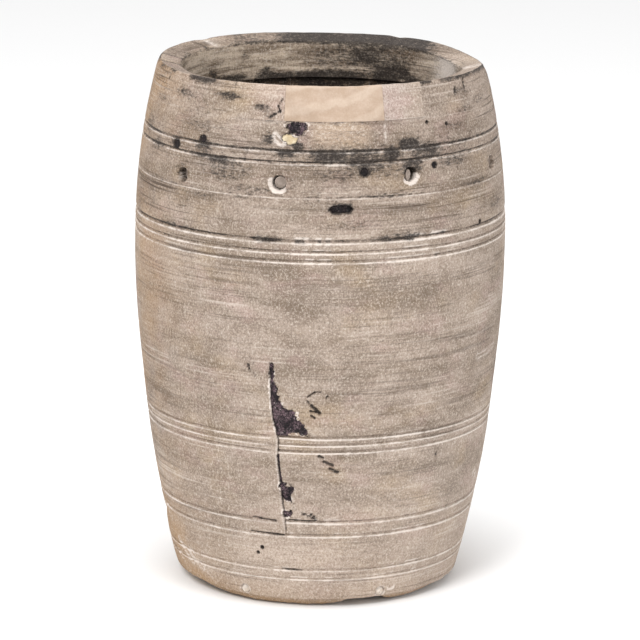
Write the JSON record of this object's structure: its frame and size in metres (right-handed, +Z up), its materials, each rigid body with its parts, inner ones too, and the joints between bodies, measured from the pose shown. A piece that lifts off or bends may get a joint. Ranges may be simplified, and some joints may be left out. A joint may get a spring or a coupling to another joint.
{
  "type": "drum shell",
  "caption": "Barrel-shaped wooden drum shell turned from one log, open at both ends, with banded grooves, broken skin pegs, a blocked rim repair and pitch-filled splits.",
  "frame": {"origin": "centre of the foot, on the surface it stands on", "axes": "+Z up the turning axis to the rim; -Y is the front, with the rim repair and the long split; +X is to the right of the front"},
  "size_m": [0.2819, 0.282, 0.4],
  "materials": {
    "aged_wood": "matte, limed and dry",
    "grey_block_wood": "matte",
    "fresh_block_wood": "matte",
    "pale_block_wood": "matte",
    "peg_wood": "matte end grain",
    "plug_wood": "matte end grain",
    "pitch": "satin",
    "putty": "matte"
  },
  "bodies": {
    "root": {"shell": "aged_wood", "rim_block_left": "grey_block_wood", "rim_block_middle": "fresh_block_wood", "rim_block_right": "pale_block_wood", "peg_stub_1": "peg_wood", "peg_stub_2": "peg_wood", "peg_stub_3": "peg_wood", "peg_stub_4": "peg_wood", "peg_stub_5": "peg_wood", "peg_stub_6": "peg_wood", "peg_stub_7": "peg_wood", "peg_stub_8": "peg_wood", "peg_stub_9": "peg_wood", "foot_plug_1": "plug_wood", "foot_plug_2": "plug_wood", "foot_plug_3": "plug_wood", "foot_plug_4": "plug_wood", "foot_plug_5": "plug_wood", "foot_plug_6": "plug_wood", "split_pitch_upper": "pitch", "split_pitch_middle": "pitch", "split_pitch_lower": "pitch", "seam_pitch": "pitch", "slot_pitch": "pitch", "rim_pitch": "pitch", "pitch_spot_left": "pitch", "pitch_spot_upper": "pitch", "pitch_spot_middle": "pitch", "pitch_spot_right": "pitch", "rim_putty": "putty"}
  },
  "joints": []
}
